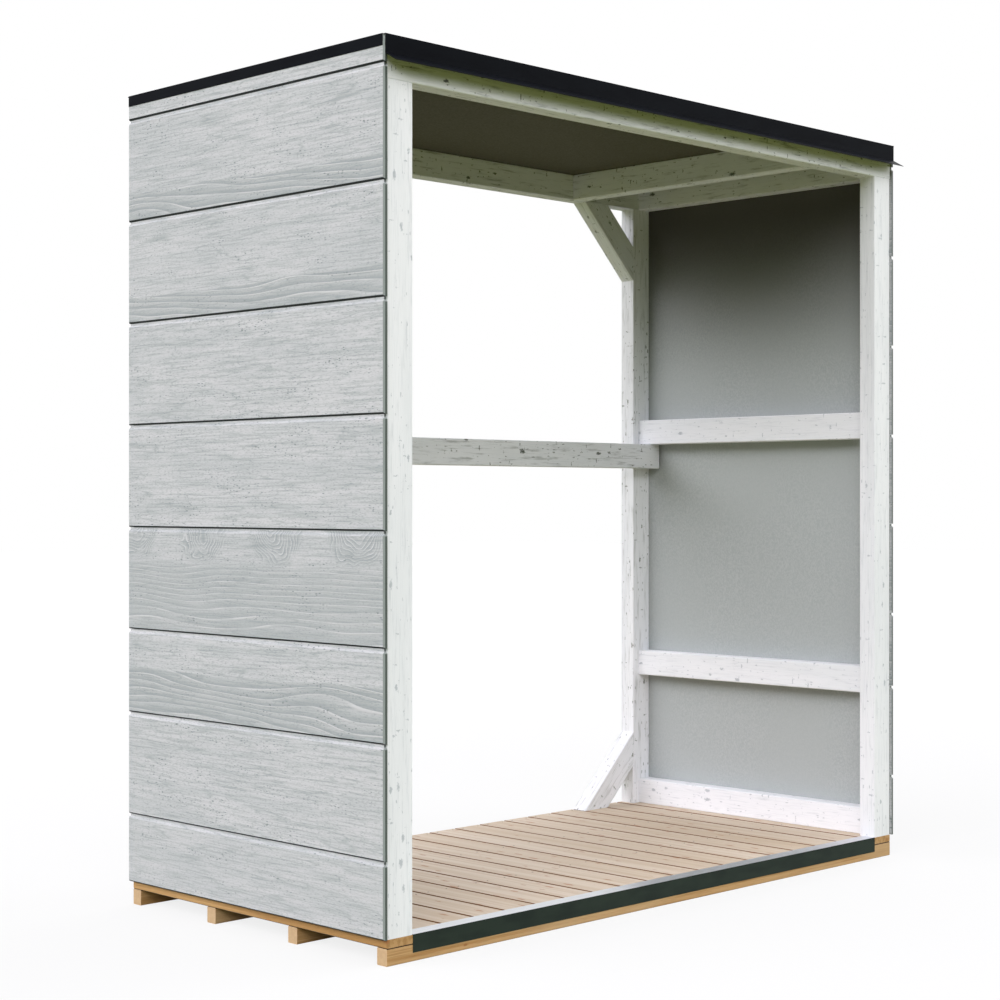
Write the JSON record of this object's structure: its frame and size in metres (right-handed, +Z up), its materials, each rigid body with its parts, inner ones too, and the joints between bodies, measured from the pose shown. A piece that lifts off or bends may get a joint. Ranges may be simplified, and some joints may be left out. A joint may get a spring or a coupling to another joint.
{
  "type": "log store",
  "caption": "Open-fronted firewood shelter: slatted deck on runners, post-and-beam frame with braced rear, grooved side cladding and a flat roof that drips at the front.",
  "frame": {"origin": "on the ground under the middle of the store", "axes": "+X along the front to the right, +Y from the open front to the rear, +Z up"},
  "size_m": [1.928, 0.99, 2.0035],
  "materials": {
    "raw_pine": "bare sawn pine",
    "deck_pine": "bare planed pine boards",
    "edge_trim": "dark coated sheet, satin",
    "frame_timber": "whitewashed knotty pine",
    "wall_sheet": "smooth grey primed board",
    "cladding": "light grey wood-grain boards",
    "roof_panel": "dark board",
    "roof_covering": "matt black roofing sheet",
    "flashing": "blue-black coated steel"
  },
  "bodies": {
    "root": {"front_runner": "raw_pine", "front_middle_runner": "raw_pine", "rear_middle_runner": "raw_pine", "rear_runner": "raw_pine", "deck_boards": "deck_pine", "deck_edge_trim": "edge_trim", "front_left_post": "frame_timber", "front_right_post": "frame_timber", "rear_left_post": "frame_timber", "rear_right_post": "frame_timber", "front_header_beam": "frame_timber", "rear_beam": "frame_timber", "left_top_rail": "frame_timber", "right_top_rail": "frame_timber", "roof_joist": "frame_timber", "left_bottom_rail": "frame_timber", "left_lower_rail": "frame_timber", "left_upper_rail": "frame_timber", "right_bottom_rail": "frame_timber", "right_lower_rail": "frame_timber", "right_upper_rail": "frame_timber", "rear_rail": "frame_timber", "rear_upper_left_brace": "frame_timber", "rear_upper_right_brace": "frame_timber", "rear_lower_left_brace": "frame_timber", "rear_lower_right_brace": "frame_timber", "left_wall_sheet": "wall_sheet", "right_wall_sheet": "wall_sheet", "left_cladding": "cladding", "right_cladding": "cladding", "roof_panel": "roof_panel", "roof_covering": "roof_covering", "front_eaves_flashing": "flashing", "rear_eaves_flashing": "flashing", "left_verge_flashing": "flashing", "right_verge_flashing": "flashing"}
  },
  "joints": []
}
